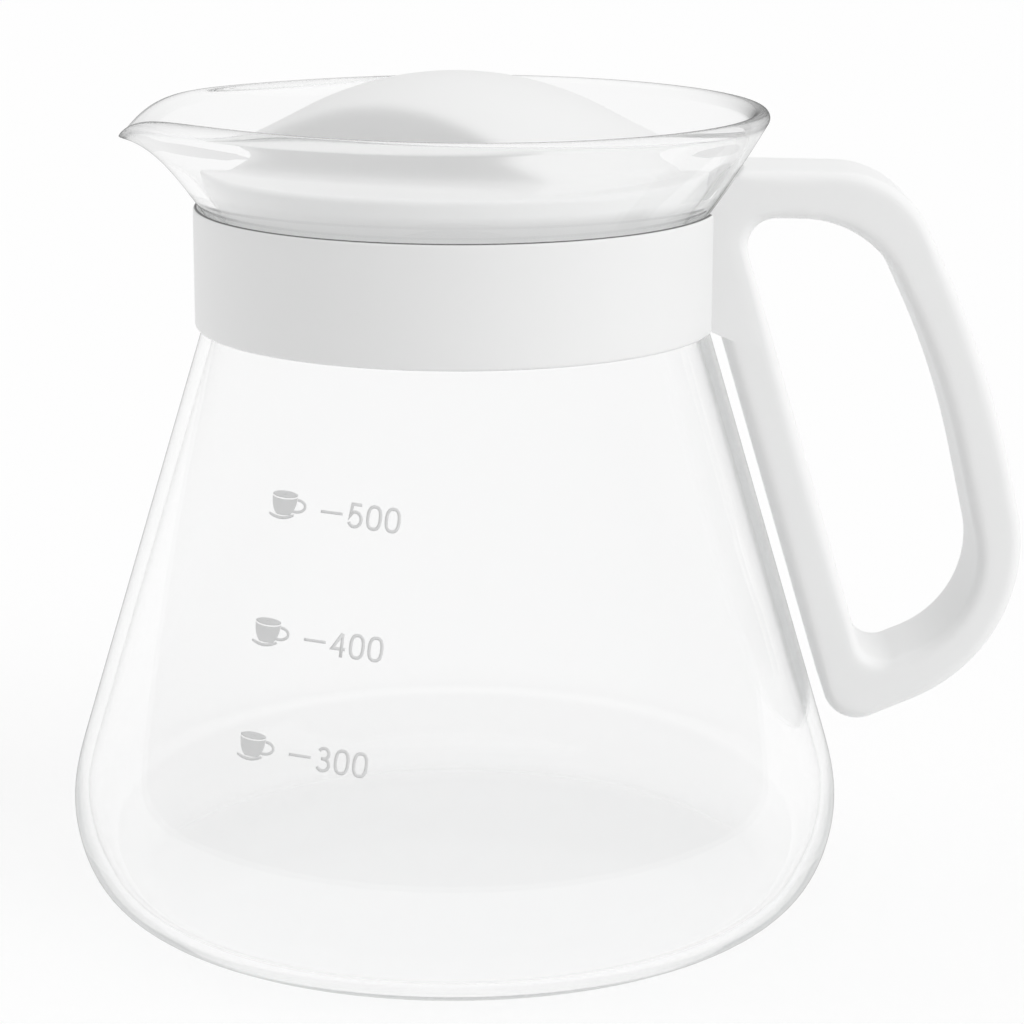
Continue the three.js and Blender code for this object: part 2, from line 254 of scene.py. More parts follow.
# A colour that goes from one to another by a factor; each is a plain colour or a socket.
def colourBetween(material, factor, first, second):
    nodes, links = material.node_tree.nodes, material.node_tree.links
    blend = nodes.new("ShaderNodeMix")
    blend.data_type = "RGBA"
    links.new(factor, blend.inputs["Factor"])
    for entry, colour in (("A", first), ("B", second)):
        if isinstance(colour, tuple):
            blend.inputs[entry].default_value = (*colour, 1)
        else:
            links.new(colour, blend.inputs[entry])
    return blend.outputs["Result"]


# Thin white plastic: a part of the light passes through it to what stands behind. Where a painted gap shade
# is given, the points marked as lying in the gap take its dark colour: shade painted into the surface.
def makePlastic(name, look):
    material = makeMaterial(name, look)
    nodes, links = material.node_tree.nodes, material.node_tree.links
    mixClear(material, mathNode(material, "MULTIPLY", lightPath(material)[1], look["passes"]))
    if "paintedGapShade" in look:
        base = nodes["Principled BSDF"].inputs["Base Color"]
        tone = base.links[0].from_socket
        links.new(colourBetween(material, markNode(material, "paintedGapShadeShare"), tone, look["paintedGapShade"]), base)
    return material


# Glass is clear to light on its way to other surfaces. A ray that was mirrored or bent many times is caught
# inside the wall: it goes on straight and dimmed, or it would show black. In the thin mouth that is sooner.
# Where the surface is seen edge on it shows a thin grey outline, a painted shade in place of the darker
# surroundings that real glass bends and mirrors in at its edges; it is broader on the round lip.
def makeGlass(name, look):
    material = makeMaterial(name, look)
    nodes, links = material.node_tree.nodes, material.node_tree.links
    path, passing = lightPath(material)
    lip, mouth = (markNode(material, mark) for mark in ("lipShare", "mouthShare"))
    trapped = mathNode(material, "MAXIMUM", *(
        mathNode(material, "GREATER_THAN", path.outputs[depth], valueBetween(material, mouth, *most))
        for depth, most in look["deepest"].items()))
    facing = nodes.new("ShaderNodeLayerWeight")
    facing.inputs["Blend"].default_value = 0.5
    power = valueBetween(material, lip, *look["outlinePower"])
    outline = mathNode(material, "POWER", facing.outputs["Facing"], power)
    through = mathNode(material, "MAXIMUM", passing, trapped)
    clear = mixClear(material, mathNode(material, "MAXIMUM", through, outline))
    edge = colourBetween(material, lip, *look["outline"])
    caught = colourBetween(material, mouth, *look["trapped"])
    dimmed = colourBetween(material, trapped, edge, caught)
    links.new(colourBetween(material, passing, dimmed, look["clear"]), clear.inputs["Color"])
    return material


lidPlastic = makePlastic("lidPlastic", plasticLook)
bandPlastic = makePlastic("bandPlastic", bandLook)
handlePlastic = makePlastic("handlePlastic", handleLook)
greyInk = makeMaterial("greyInk", inkLook)
clearGlass = makeGlass("clearGlass", glassLook)
print("materials made")


# Glass vessel

vessel = {
    "bodyRadius": 57.0,  # widest outside radius
    "heelAcross": 10.6, "heelUp": 14.9,  # half axes of the rounded heel
    "sideLean": 16.8,  # degrees that the side leans in
    "waistHeight": 95.6, "waistFillet": 11.0,
    "flareAngle": 36.0,  # degrees from upright where the mouth leaves the waist
    "rimFlare": 10.8, "rimRise": 21.4,  # lip beyond and above the waist
    "wall": 1.8, "baseWall": 2.4,
    "lip": 2.3, "lipStart": 0.6,
    "lipReach": (2.8, 1.5),  # below the rim, where the lip's outline begins and is full
    "mouthReach": (14.0, 11.0),  # the same for the mouth's lighter glass
    "spoutReach": 3.8, "spoutSpread": 33.0, "spoutPinch": 1.1,
    "spoutDip": 4.4, "spoutDipSpread": 10.5, "spoutGrowth": 2.8,
    "spoutFoot": 102.9,  # height where the drawing of the spout begins
    "heelSoft": 2.6, "softFrom": (3.0, 11.0),  # the heel is blended into the side, from the first height on
    "rows": (32, 20, 16, 26), "lipRows": 22, "baseRows": 8, "columns": 440,
    "sideGrowth": 1.6, "fine": 2001,  # the side's rows stand closer at its foot; steps of the blended line
}
lean = math.radians(vessel["sideLean"])
rimHeight = vessel["waistHeight"] + vessel["rimRise"]
heelEnd = math.atan2(vessel["heelUp"] * math.sin(lean), vessel["heelAcross"] * math.cos(lean))
heelTop = (vessel["bodyRadius"] - vessel["heelAcross"] * (1 - math.cos(heelEnd)),
           vessel["heelUp"] * (1 + math.sin(heelEnd)))


# Radius of the straight side at a height.
def coneRadius(height):
    return heelTop[0] - (height - heelTop[1]) * math.tan(lean)


# The lower half of the glass outside: the heel as a quarter and a bit of an ellipse, and the straight side
# tangent to it. A bell mean along the length lets the heel's bend fade softly into the side.
def lowerSide():
    heelRows, sideRows = vessel["rows"][:2]
    across, up = vessel["heelAcross"], vessel["heelUp"]
    turn = np.linspace(-math.pi / 2, heelEnd, heelRows)
    heel = np.stack([vessel["bodyRadius"] - across + across * np.cos(turn), up * (1 + np.sin(turn))], 1)
    sideTop = vessel["waistHeight"] - vessel["waistFillet"] * math.sin(lean)
    share = np.linspace(0, 1, sideRows + 2)[1:-1] ** vessel["sideGrowth"]
    height = heelTop[1] + (sideTop - heelTop[1]) * share
    points = np.concatenate([heel, np.stack([coneRadius(height), height], 1)])
    thinning = np.linspace(vessel["baseWall"], vessel["wall"], heelRows)
    walls = np.concatenate([thinning, 0 * height + vessel["wall"]])

    length = np.concatenate([[0], np.cumsum(np.linalg.norm(np.diff(points, axis=0), axis=1))])
    even = np.linspace(0, length[-1], vessel["fine"])
    plain = np.array([np.interp(even, length, line) for line in (*points.T, walls)])
    mean = np.array([bellMean(line, vessel["heelSoft"] / even[1]) for line in plain])
    soft = plain + eased(plain[1], *vessel["softFrom"]) * (mean - plain)
    along = np.gradient(soft[:2], axis=1)
    radius, height, walls, alongR, alongZ = (np.interp(length, even, line) for line in (*soft, *along))
    alongR[0], alongZ[0] = 1, 0  # the heel leaves the flat base level
    return np.stack([radius, height], 1), np.stack([alongZ, -alongR], 1), walls


# The glass outside from the flat base to the lip, as points, outward normals and wall. Above the straight
# side the waist is a hollow arc tangent to it, and the mouth a quadratic curve tangent to the waist that
# ends at the lip's bead.
def vesselSide():
    lower, lowerNormal, lowerWall = lowerSide()
    waistRows, mouthRows = vessel["rows"][2:]
    fillet = vessel["waistFillet"]
    centre = coneRadius(vessel["waistHeight"] - fillet * math.sin(lean)) + fillet * math.cos(lean)
    turn = np.linspace(-lean, math.radians(vessel["flareAngle"]), waistRows)
    waist = np.stack([centre - fillet * np.cos(turn), vessel["waistHeight"] + fillet * np.sin(turn)], 1)
    waistNormal = np.stack([np.cos(turn), -np.sin(turn)], 1)

    flare = math.radians(vessel["flareAngle"])
    lip = vessel["lip"]
    start = waist[-1]
    bead = np.array([centre - fillet + vessel["rimFlare"] - lip / 2, rimHeight - lip / 2])
    chord = (bead - start) / np.linalg.norm(bead - start) * lip / 2
    end = bead + np.array([chord[1], -chord[0]])
    control = start + np.array([math.sin(flare), math.cos(flare)]) * np.linalg.norm(end - start) / 2
    share = np.linspace(0, 1, mouthRows)[1:, None]
    mouth = (1 - share) ** 2 * start + 2 * share * (1 - share) * control + share ** 2 * end
    along = (1 - share) * (control - start) + share * (end - control)
    mouthNormal = np.stack([along[:, 1], -along[:, 0]], 1)
    mouthWall = vessel["wall"] + (lip - vessel["wall"]) * eased(share[:, 0], vessel["lipStart"], 1)

    points = np.concatenate([lower, waist, mouth])
    normals = np.concatenate([lowerNormal, waistNormal, mouthNormal])
    normals /= np.linalg.norm(normals, axis=1)[:, None]
    walls = np.concatenate([lowerWall, np.full(len(waist), vessel["wall"]), mouthWall])
    return points, normals, walls


sidePoints, sideNormals, sideWalls = vesselSide()


# Radius of the glass at a height, moved outwards by a distance, or inwards through the wall and on.
def outsideRadius(height, distance=0.0):
    moved = sidePoints + sideNormals * distance
    return np.interp(height, moved[:, 1], moved[:, 0])


def insideRadius(height, distance=0.0):
    moved = sidePoints - sideNormals * (sideWalls + distance)[:, None]
    return np.interp(height, moved[:, 1], moved[:, 0])


# The spout: near -X the mouth is drawn out by a wide bell of angle and down by a narrow bell, more the
# higher up, and the lip beside it is pinched in.
def drawSpout(radius, height, angle):
    rise = np.clip((height - vessel["spoutFoot"]) / (rimHeight - vessel["spoutFoot"]), 0, 1)
    drawn = rise ** vessel["spoutGrowth"]
    aside = np.degrees(np.arctan2(np.sin(angle), -np.cos(angle)))
    wide = (aside / vessel["spoutSpread"]) ** 2
    narrow = (aside / vessel["spoutDipSpread"]) ** 2
    out = vessel["spoutReach"] * np.exp(-wide / 2) * (drawn - vessel["spoutPinch"] * wide * drawn ** 2)
    return radius + out, height - vessel["spoutDip"] * np.exp(-narrow / 2) * drawn


# The whole wall in one closed profile, from the middle of the base outside, over the lip's half round,
# to the middle of the base inside, turned round the axis.
def buildVessel():
    lipNormal, lipWall = sideNormals[-1], sideWalls[-1]
    bead = sidePoints[-1] - lipNormal * lipWall / 2
    turn = math.atan2(lipNormal[1], lipNormal[0]) + np.linspace(0, math.pi, vessel["lipRows"])[1:-1]
    lip = bead + np.stack([np.cos(turn), np.sin(turn)], 1) * lipWall / 2
    inner = (sidePoints - sideNormals * sideWalls[:, None])[::-1]
    share = np.linspace(0, 1, vessel["baseRows"])[:-1]
    floorOut = np.stack([share * sidePoints[0, 0], share * 0], 1)
    floorIn = np.stack([share * inner[-1, 0], share * 0 + vessel["baseWall"]], 1)[::-1]
    profile = np.concatenate([floorOut, sidePoints, lip, inner, floorIn])
    angle = np.linspace(0, 2 * math.pi, vessel["columns"], endpoint=False)[None, :]
    radius, height = drawSpout(profile[:, :1] + 0 * angle, profile[:, 1:] + 0 * angle, angle)
    radius = np.where(profile[:, :1] > 0, radius, 0)
    points = np.stack([radius * np.cos(angle), radius * np.sin(angle), height], -1)
    below = rimHeight - profile[:, 1:] + 0 * angle
    marks = {mark + "Share": eased(below, *vessel[mark + "Reach"]) for mark in ("lip", "mouth")}
    return points, gridFaces(len(profile), vessel["columns"], wrapColumns=True).tolist(), marks


glassPoints, glassFaces, glassMarks = buildVessel()
vesselPiece = makePiece("glass", glassPoints, glassFaces, clearGlass, sharp=60, marks=glassMarks)
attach(vesselPiece, "jug")
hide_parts("glass_vessel")
print("glass vessel made:", len(vesselPiece.data.polygons), "faces")


# Band round the waist

band = {
    "bottom": 85.7, "top": 102.9, "radius": 37.71,
    "round": 0.5, "roundRows": 9,
    "seatGap": 0.3,  # clearance to the glass
    "paintedGapShade": (30.0, 48.0),  # degrees of the upper rounding where the painted shade of the gap begins to fade and ends
    "mouth": 8.9,  # half of the opening that the handle's root sits in
    "seatRows": 26, "sideRows": 8, "columns": 240,
    "edgeBevel": 0.2, "edgeSegments": 2, "edgeAngle": 55.0,  # bevel of the flat ends' edges
}


# Section: the glass outside plus a clearance within, an upright line with rounded ends without.
# Each point turns from the angle whose sine is the opening over its radius, so both ends are flat.
def buildBand():
    rows = band["seatRows"]
    height = np.linspace(band["top"], band["bottom"], rows)
    seat = np.stack([outsideRadius(height, band["seatGap"]), height], 1)
    turn = np.linspace(0, math.pi / 2, band["roundRows"])
    flank = band["radius"] - band["round"]
    lower = np.stack([flank + band["round"] * np.sin(turn),
                      band["bottom"] + band["round"] * (1 - np.cos(turn))], 1)
    upper = np.stack([lower[::-1, 0], band["bottom"] + band["top"] - lower[::-1, 1]], 1)
    height = np.linspace(lower[-1, 1], upper[0, 1], band["sideRows"])[1:-1]
    wall = np.stack([np.full_like(height, band["radius"]), height], 1)
    section = np.concatenate([seat, lower, wall, upper])
    # painted shade: the upper rounding's points beside the glass are marked to take the gap's dark colour
    paintedGapShadeShare = np.zeros(len(section))
    paintedGapShadeShare[-band["roundRows"]:] = 1 - eased(np.degrees(turn[::-1]), *band["paintedGapShade"])
    radius = section[:, :1]
    first = np.arcsin(band["mouth"] / radius)
    angle = first + (2 * math.pi - 2 * first) * np.linspace(0, 1, band["columns"])[None, :]
    points = np.stack([radius * np.cos(angle), radius * np.sin(angle), section[:, 1:] + 0 * angle], -1)
    faces = gridFaces(len(section), band["columns"], wrapRows=True).tolist()
    ends = np.arange(len(section)) * band["columns"]
    faces += [ends.tolist(), (ends + band["columns"] - 1)[::-1].tolist()]
    return points, faces, paintedGapShadeShare[:, None] + 0 * angle


bandPoints, bandFaces, paintedGapShadeShare = buildBand()
bandPiece = makePiece("band", bandPoints, bandFaces, bandPlastic, sharp=35, marks={"paintedGapShadeShare": paintedGapShadeShare})
edgeBevel = bandPiece.modifiers.new("edge", "BEVEL")
edgeBevel.width, edgeBevel.segments = band["edgeBevel"] * mm, band["edgeSegments"]
edgeBevel.limit_method, edgeBevel.angle_limit = "ANGLE", math.radians(band["edgeAngle"])
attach(bandPiece, "jug")
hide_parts("neck_band")
print("band made")


# Handle

handle = {
    "strap": 6.8, "width": 17.5, "round": 1.8,
    "stemGap": 1.5,  # from the glass side to the stem
    "armTop": 109.1, "armFall": 0.5,
    "elbowReach": 25.8, "gripReach": 39.2, "gripDrop": 5.1,  # corners, out from the band
    "fistReach": 48.8, "fistRise": 13.0, "loopFoot": 26.2,
    "rounds": (5.0, 25.0, 0.0, 14.0, 5.0),  # outside corners; the grip's bend is worked out
    "holeRounds": (4.0, 15.3, 0.0, 15.8, 4.0),
    "gripCorner": 2, "gripEase": 0.75,
    "cornerSteps": (14, 44, 44, 44, 14), "edgeSteps": (22, 16, 16, 40, 96),
    "rootReach": 8.0,  # how far the root first reaches into the glass before it is hollowed to it
    "faceSteps": 7, "thickSteps": 5, "roundSteps": 5,  # of a section: across, along its thickness, a corner
    "slideMost": 40.0, "halvings": 40,  # search for how far a buried point slides out of the glass
}


# The stem's glass side: the line of the leaning side, a gap away from it.
def stemAt(height):
    return np.array([coneRadius(height) + handle["stemGap"] / math.cos(lean), height])


# Directions back and on along the edges at each corner of a polygon, and half the angle between them.
def cornerAngles(corners):
    back = np.roll(corners, 1, 0) - corners
    on = np.roll(corners, -1, 0) - corners
    back /= np.linalg.norm(back, axis=1)[:, None]
    on /= np.linalg.norm(on, axis=1)[:, None]
    return back, on, np.arccos(np.sum(back * on, 1)) / 2


# The polygon's edges moved inwards by a distance: each corner goes along its bisector by the distance over
# the sine of half its angle.
def movedIn(corners, distance):
    back, on, half = cornerAngles(corners)
    middle = back + on
    middle /= np.linalg.norm(middle, axis=1)[:, None]
    return corners + middle * (distance / np.sin(half))[:, None]


# The radius of the shallow grip bend: a share of what its neighbours' roundings leave of its edges.
def withGripBend(corners, rounds):
    grip = handle["gripCorner"]
    half = cornerAngles(corners)[2]
    near = [grip - 1, grip + 1]
    free = [np.linalg.norm(corners[grip] - corners[k]) - rounds[k] / math.tan(half[k]) for k in near]
    bent = list(rounds)
    bent[grip] = handle["gripEase"] * min(free) * math.tan(half[grip])
    return np.array(bent)


# A polygon with rounded corners as points: for each corner its arc, then the straight edge that follows.
def roundedLoop(corners, rounds):
    back, on, half = cornerAngles(corners)
    middle = back + on
    middle /= np.linalg.norm(middle, axis=1)[:, None]
    centres = corners + middle * (rounds / np.sin(half))[:, None]
    reach = (rounds / np.tan(half))[:, None]
    first, last = corners + back * reach, corners + on * reach
    loop = []
    for i, (arcSteps, edgeSteps) in enumerate(zip(handle["cornerSteps"], handle["edgeSteps"])):
        begin = math.atan2(*(first[i] - centres[i])[::-1])
        finish = math.atan2(*(last[i] - centres[i])[::-1])
        swing = (finish - begin + math.pi) % (2 * math.pi) - math.pi
        turn = begin + swing * np.linspace(0, 1, arcSteps)
        loop.append(centres[i] + rounds[i] * np.stack([np.cos(turn), np.sin(turn)], 1))
        share = np.linspace(0, 1, edgeSteps + 2)[1:-1, None]
        loop.append(last[i] + share * (first[(i + 1) % len(corners)] - last[i]))
    return np.concatenate(loop)


# A rounded rectangle as shares of a section: how much of the rounding and of the straight part to take.
# Returns for each point its side along the strap's thickness (-1 hole, 1 outside), its side across,
# and the two cosines of its rounding.
def sectionShares():
    turn = np.linspace(0, math.pi / 2, handle["roundSteps"] + 1)
    faceShare = np.linspace(-1, 1, handle["faceSteps"] + 2)[1:-1]
    thickShare = np.linspace(-1, 1, handle["thickSteps"] + 2)[1:-1]
    along, across, bulgeAlong, bulgeAcross = [], [], [], []

    def add(a, c, ba, bc):
        for store, value in zip((along, across, bulgeAlong, bulgeAcross), (a, c, ba, bc)):
            store.append(np.broadcast_to(value, np.broadcast_shapes(np.shape(a), np.shape(c), np.shape(ba))))

    add(1.0 + 0 * turn, 1.0, np.cos(turn), np.sin(turn))  # outside, +y corner
    add(-thickShare, 1.0 + 0 * thickShare, 0.0 * thickShare, 1.0 + 0 * thickShare)
    add(-1.0 + 0 * turn, 1.0, -np.sin(turn), np.cos(turn))  # hole, +y corner
    add(-1.0 + 0 * faceShare, -faceShare, -1.0 + 0 * faceShare, 0.0 * faceShare)
    add(-1.0 + 0 * turn, -1.0, -np.cos(turn), -np.sin(turn))  # hole, -y corner
    add(thickShare, -1.0 + 0 * thickShare, 0.0 * thickShare, -1.0 + 0 * thickShare)
    add(1.0 + 0 * turn, -1.0, np.sin(turn), -np.cos(turn))  # outside, -y corner
    add(1.0 + 0 * faceShare, faceShare, 1.0 + 0 * faceShare, 0.0 * faceShare)
    return (np.concatenate([np.atleast_1d(part) for part in store])
            for store in (along, across, bulgeAlong, bulgeAcross))


# The strap: rounded rectangles between matched points of the outer loop and of the finger hole.
# Where it meets the band its sections reach on into the glass, and every point that lies inside the
# glass plus its clearance slides back along its section to that surface.
def buildHandle():
    base = band["radius"]
    corners = np.array([
        stemAt(handle["loopFoot"]),
        (base + handle["fistReach"], handle["loopFoot"] + handle["fistRise"]),
        (base + handle["gripReach"], band["bottom"] - handle["gripDrop"]),
        (base + handle["elbowReach"], handle["armTop"] - handle["armFall"]),
        stemAt(handle["armTop"]),
    ])
    holeCorners = movedIn(corners, handle["strap"])
    outer = roundedLoop(corners, withGripBend(corners, handle["rounds"]))
    hole = roundedLoop(holeCorners, withGripBend(holeCorners, handle["holeRounds"]))
    direction = outer - hole
    direction /= np.linalg.norm(direction, axis=1)[:, None]
    stemStart = len(outer) - handle["edgeSteps"][-1] - handle["cornerSteps"][-1]
    rooted = (np.arange(len(outer)) >= stemStart) & (outer[:, 1] > band["bottom"])
    outer = outer + direction * (handle["rootReach"] * rooted)[:, None]
    thickness = np.linalg.norm(outer - hole, axis=1)[:, None]
    middle = (outer + hole) / 2

    along, across, bulgeAlong, bulgeAcross = sectionShares()
    half = handle["width"] / 2
    reach = along * (thickness / 2 - handle["round"]) + bulgeAlong * handle["round"]
    side = across * (half - handle["round"]) + bulgeAcross * handle["round"] + 0 * reach

    def place(slide):
        return middle[:, None, :] + direction[:, None, :] * (reach - slide)[..., None]

    def inside(slide):
        moved = place(slide)
        return np.hypot(moved[..., 0], side) < outsideRadius(moved[..., 1], band["seatGap"])

    low, high = 0 * reach, 0 * reach + handle["slideMost"]
    buried = inside(low)
    for step in range(handle["halvings"]):
        test = (low + high) / 2
        held = inside(test)
        low, high = np.where(held, test, low), np.where(held, high, test)
    flat = place(np.where(buried, high, 0))
    points = np.stack([flat[..., 0], side, flat[..., 1]], -1)
    return points, gridFaces(points.shape[0], points.shape[1], wrapRows=True, wrapColumns=True).tolist()


handlePiece = makePiece("handle_loop", *buildHandle(), handlePlastic, sharp=40)
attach(handlePiece, "jug")
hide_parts("handle")
print("handle made")


# Lid

lid = {
    "seat": 106.2, "ledge": 109.05, "edgeRound": 0.9, "radius": 36.49,
    "skirtFoot": 97.7, "seatGap": 0.3, "wall": 1.8,
    "domeRadius": 32.2, "domeRise": 12.8,  # the dome's foot on the ledge, and its height
    "domeFoot": 2.1, "domeBlend": 10.0, "domeRound": 1.0,  # its upright foot: height, reach inwards, rounding
    "gripOffset": 18.5, "gripTurn": 32.3, "gripLean": 7.0,
    "soft": 1.2,  # how far the wall's and the dome's edges are blended, as a bell's width
    "softShare": 10.0,  # a short line's bell is no wider than its length over this
    "coveSoft": 2.8, "coveReach": 4.5,  # the same at the wall's foot, and how far along the line that goes
    "rows": 121, "columns": 161, "fine": 1201, "spanSteps": 120, "solveSteps": 20,
    "bendWeight": 4.0, "bendReach": 4.0,  # how much closer the columns stand at a bend, and how far round it
    "roundRows": 9, "uprightRows": 4, "skirtRows": 14,
}


# Height of the dome over the ledge: a ball's cap, lifted by a square law towards its foot, and closed there
# by a quarter of an ellipse.
def domeHeight(radius):
    ball = (lid["domeRadius"] ** 2 + lid["domeRise"] ** 2) / (2 * lid["domeRise"])
    cap = np.sqrt(ball ** 2 - radius ** 2) - (ball - lid["domeRise"])
    near = np.clip(1 - (lid["domeRadius"] - radius) / lid["domeBlend"], 0, 1)
    edge = np.clip(1 - (lid["domeRadius"] - radius) / lid["domeRound"], 0, 1)
    return (cap + lid["domeFoot"] * near ** 2) * np.sqrt(1 - edge ** 2)


# The top in rows across the grip's face. Each row's line goes from the front edge over the ledge, up the
# leaning face, over the dome's arc and down to the back edge; it is blended by a bell-shaped running mean
# along its length, and its columns stand closer where the line bends.
def lidTop():
    flat = lid["radius"] - lid["edgeRound"]
    slope = math.tan(math.radians(lid["gripLean"]))
    turn = np.linspace(-math.pi / 2, math.pi / 2, lid["rows"])
    across, edge = flat * np.sin(turn), flat * np.cos(turn)
    dome = np.sqrt(np.maximum(lid["domeRadius"] ** 2 - across ** 2, 0))
    foot = np.minimum(dome, lid["gripOffset"])
    rise = 0 * foot
    for step in range(lid["solveSteps"]):
        rise = domeHeight(np.hypot(foot - rise * slope, across))
    rise = np.where(dome > lid["gripOffset"], rise, 0)
    crest = foot - rise * slope

    steps = lid["spanSteps"]
    share = np.linspace(0, 1, steps)[None, :]

    def span(start, end):
        return start[:, None] + (end - start)[:, None] * share

    arc = span(crest, -dome)
    arcHeight = domeHeight(np.hypot(arc, across[:, None]))
    forward = np.concatenate([span(edge, foot), span(foot, crest), arc, span(-dome, -edge)], 1)
    height = np.concatenate([0 * arc, span(0 * rise, rise), arcHeight, 0 * arc], 1)
    length = np.concatenate([0 * edge[:, None], np.cumsum(np.hypot(np.diff(forward), np.diff(height)), 1)], 1)

    rows = []
    for i in range(lid["rows"]):
        total = max(length[i, -1], 1e-6)
        even = np.linspace(0, total, lid["fine"])
        footAt, crestAt = length[i, steps - 1], length[i, 2 * steps - 1]
        spacing = total / (lid["fine"] - 1)
        cove = np.exp(-((even - footAt) / lid["coveReach"]) ** 2)
        blended = []
        for line in (forward[i], height[i]):
            line = np.interp(even, length[i], line)
            edges, hollow = (bellMean(line, min(lid[soft], total / lid["softShare"]) / spacing)
                             for soft in ("soft", "coveSoft"))
            blended.append(edges + cove * (hollow - edges))
        weight = np.ones(lid["fine"])
        for bend in (footAt, crestAt):
            weight += lid["bendWeight"] * np.exp(-((even - bend) / lid["bendReach"]) ** 2)
        place = np.concatenate([[0], np.cumsum((weight[1:] + weight[:-1]) / 2)])
        pick = np.linspace(0, place[-1], lid["columns"])
        rows.append([np.interp(pick, place, line) for line in blended])
    rows = np.array(rows)
    facing = math.radians(lid["gripTurn"])
    normal, beside = (-math.sin(facing), -math.cos(facing)), (math.cos(facing), -math.sin(facing))
    x = rows[:, 0] * normal[0] + across[:, None] * beside[0]
    y = rows[:, 0] * normal[1] + across[:, None] * beside[1]
    return np.stack([x, y, lid["ledge"] + rows[:, 1]], -1)


# The edge: from the top's outline over a quarter round, down the upright part, then along the glass
# inside less a clearance to the foot of the skirt, carried round the outline's own points.
def lidEdge(top):
    turn = np.linspace(0, math.pi / 2, lid["roundRows"])
    flat = lid["radius"] - lid["edgeRound"]
    quarter = np.stack([flat + lid["edgeRound"] * np.sin(turn),
                        lid["ledge"] - lid["edgeRound"] * (1 - np.cos(turn))], 1)
    height = np.linspace(lid["ledge"] - lid["edgeRound"], lid["seat"], lid["uprightRows"])[1:]
    upright = np.stack([np.full_like(height, lid["radius"]), height], 1)
    height = np.linspace(lid["seat"], lid["skirtFoot"], lid["skirtRows"])[1:]
    skirt = np.stack([np.minimum(insideRadius(height, lid["seatGap"]), lid["radius"]), height], 1)
    profile = np.concatenate([quarter, upright, skirt])
    outline = np.concatenate([top[:, 0], top[-2:0:-1, -1]])[:, :2] / flat
    ring = profile[:, None, :1] * outline[None]
    heights = np.broadcast_to(profile[:, None, 1:], ring.shape[:2] + (1,))
    return np.concatenate([ring, heights], -1)


topGrid = lidTop()
edgeGrid = lidEdge(topGrid)
lidPoints, lidFaces = joined([
    (topGrid, gridFaces(*topGrid.shape[:2])),
    (edgeGrid, gridFaces(*edgeGrid.shape[:2], wrapColumns=True)),
])
lidPiece = makePiece("lid_shell", lidPoints, lidFaces, lidPlastic, sharp=45)
lidWall = lidPiece.modifiers.new("wall", "SOLIDIFY")
lidWall.thickness, lidWall.offset = lid["wall"] * mm, -1
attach(lidPiece, "lid")
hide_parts("lid")
print("lid made")


# Printed scale on the glass

scale = {
    "marks": ((500, -22.13, 66.65), (400, -22.5, 50.0), (300, -22.74, 35.1)),  # number, azimuth, height
    "dash": (-1.64, 1.64), "dashStroke": 0.4,
    "digitLeft": 2.42, "digitPitch": 2.6, "digitWidth": 2.2, "digitHeight": 3.45, "stroke": 0.46,
    "zeroPower": 0.78,  # 1 makes an ellipse of the zero, less a fuller oval
    "level": -3.0,  # where along the print its line is level
    "proud": 0.035, "overlap": 0.004, "ink": 0.03,  # strokes that cross lie at slightly different heights
    "cupMiddle": -7.5, "cupHalf": 2.1, "cupBottom": -1.05,
    "cupTaper": (0.12, 0.34, 3.2),  # how much the bowl closes in evenly and late; the late part's power
    "cupSag": 0.1,  # how much its bottom hangs in the middle
    "cupGrid": (17, 25), "rimGrid": (5, 48),
    "rimMiddle": 1.7, "rimUp": 0.5, "rimGap": 0.17,  # the cup's rim, an ellipse that closes the bowl
    "rimFollow": 0.98,  # how far round that ellipse the bowl's upper edge bends
    "cupHandle": (-5.5, 0.28, 1.4, 0.82, 84, -112, 30), "cupHandleStroke": 0.4,  # a bow, as below
    "saucerShift": -0.3, "saucerHalf": 2.05, "saucerFoot": -1.5, "saucerRise": 0.5,
    "saucerStroke": 0.44, "saucerThinning": 0.12,
}


# A stroke of even or changing width along a path: each point moved to both sides along the mean of its
# neighbouring segments' normals, lengthened at a bend so that the width holds.
def stroke(path, width, closed=False):
    path = np.asarray(path, float)
    step = np.roll(path, -1, 0) - path if closed else np.diff(path, axis=0)
    step /= np.linalg.norm(step, axis=1)[:, None]
    before = np.roll(step, 1, 0) if closed else np.concatenate([step[:1], step])
    after = step if closed else np.concatenate([step, step[-1:]])
    normal = np.stack([-(before + after)[:, 1], (before + after)[:, 0]], 1)
    normal /= np.sum(normal * np.stack([-after[:, 1], after[:, 0]], 1), 1)[:, None]
    half = (np.zeros(len(path)) + width)[:, None] / 2
    grid = np.stack([path - normal * half, path, path + normal * half], 1)
    return grid, gridFaces(len(path), 3, wrapRows=closed)


# Points on an ellipse between two angles in degrees.
def bow(x, y, across, up, first, last, steps=28):
    turn = np.radians(np.linspace(first, last, steps))
    return np.stack([x + across * np.cos(turn), y + up * np.sin(turn)], 1)


# Plain digits in a box of the given width and height, as paths for the middle line of the pen's stroke.
def digitPaths(digit, width, height, pen):
    w, h = width - pen, height - pen
    if digit == "0":
        turn = np.linspace(0, 2 * math.pi, 48, endpoint=False)
        x, y = (np.sign(f(turn)) * np.abs(f(turn)) ** scale["zeroPower"] for f in (np.cos, np.sin))
        paths = [np.stack([w / 2 * (1 + x), h / 2 * (1 + y)], 1)]
    elif digit == "3":
        upper = bow(w * 0.47, h * 0.765, w * 0.42, h * 0.235, 155, -90, 24)
        lower = bow(w * 0.47, h * 0.265, w * 0.5, h * 0.265, 90, -155, 28)
        waist = [(w * 0.28, h * 0.53)]
        paths = [np.concatenate([upper, waist]), np.concatenate([waist, lower])]
    elif digit == "4":
        paths = [np.array([(w * 0.74, h), (0, h * 0.3), (w * 1.06, h * 0.3)]),
                 np.array([(w * 0.76, h), (w * 0.76, -pen / 2)])]
    else:
        belly = bow(w * 0.45, h * 0.33, w * 0.52, h * 0.33, 118, -155, 34)
        paths = [np.concatenate([[(w * 0.92, h), (w * 0.16, h), (w * 0.08, h * 0.52)], belly])]
    return [path + pen / 2 for path in paths]


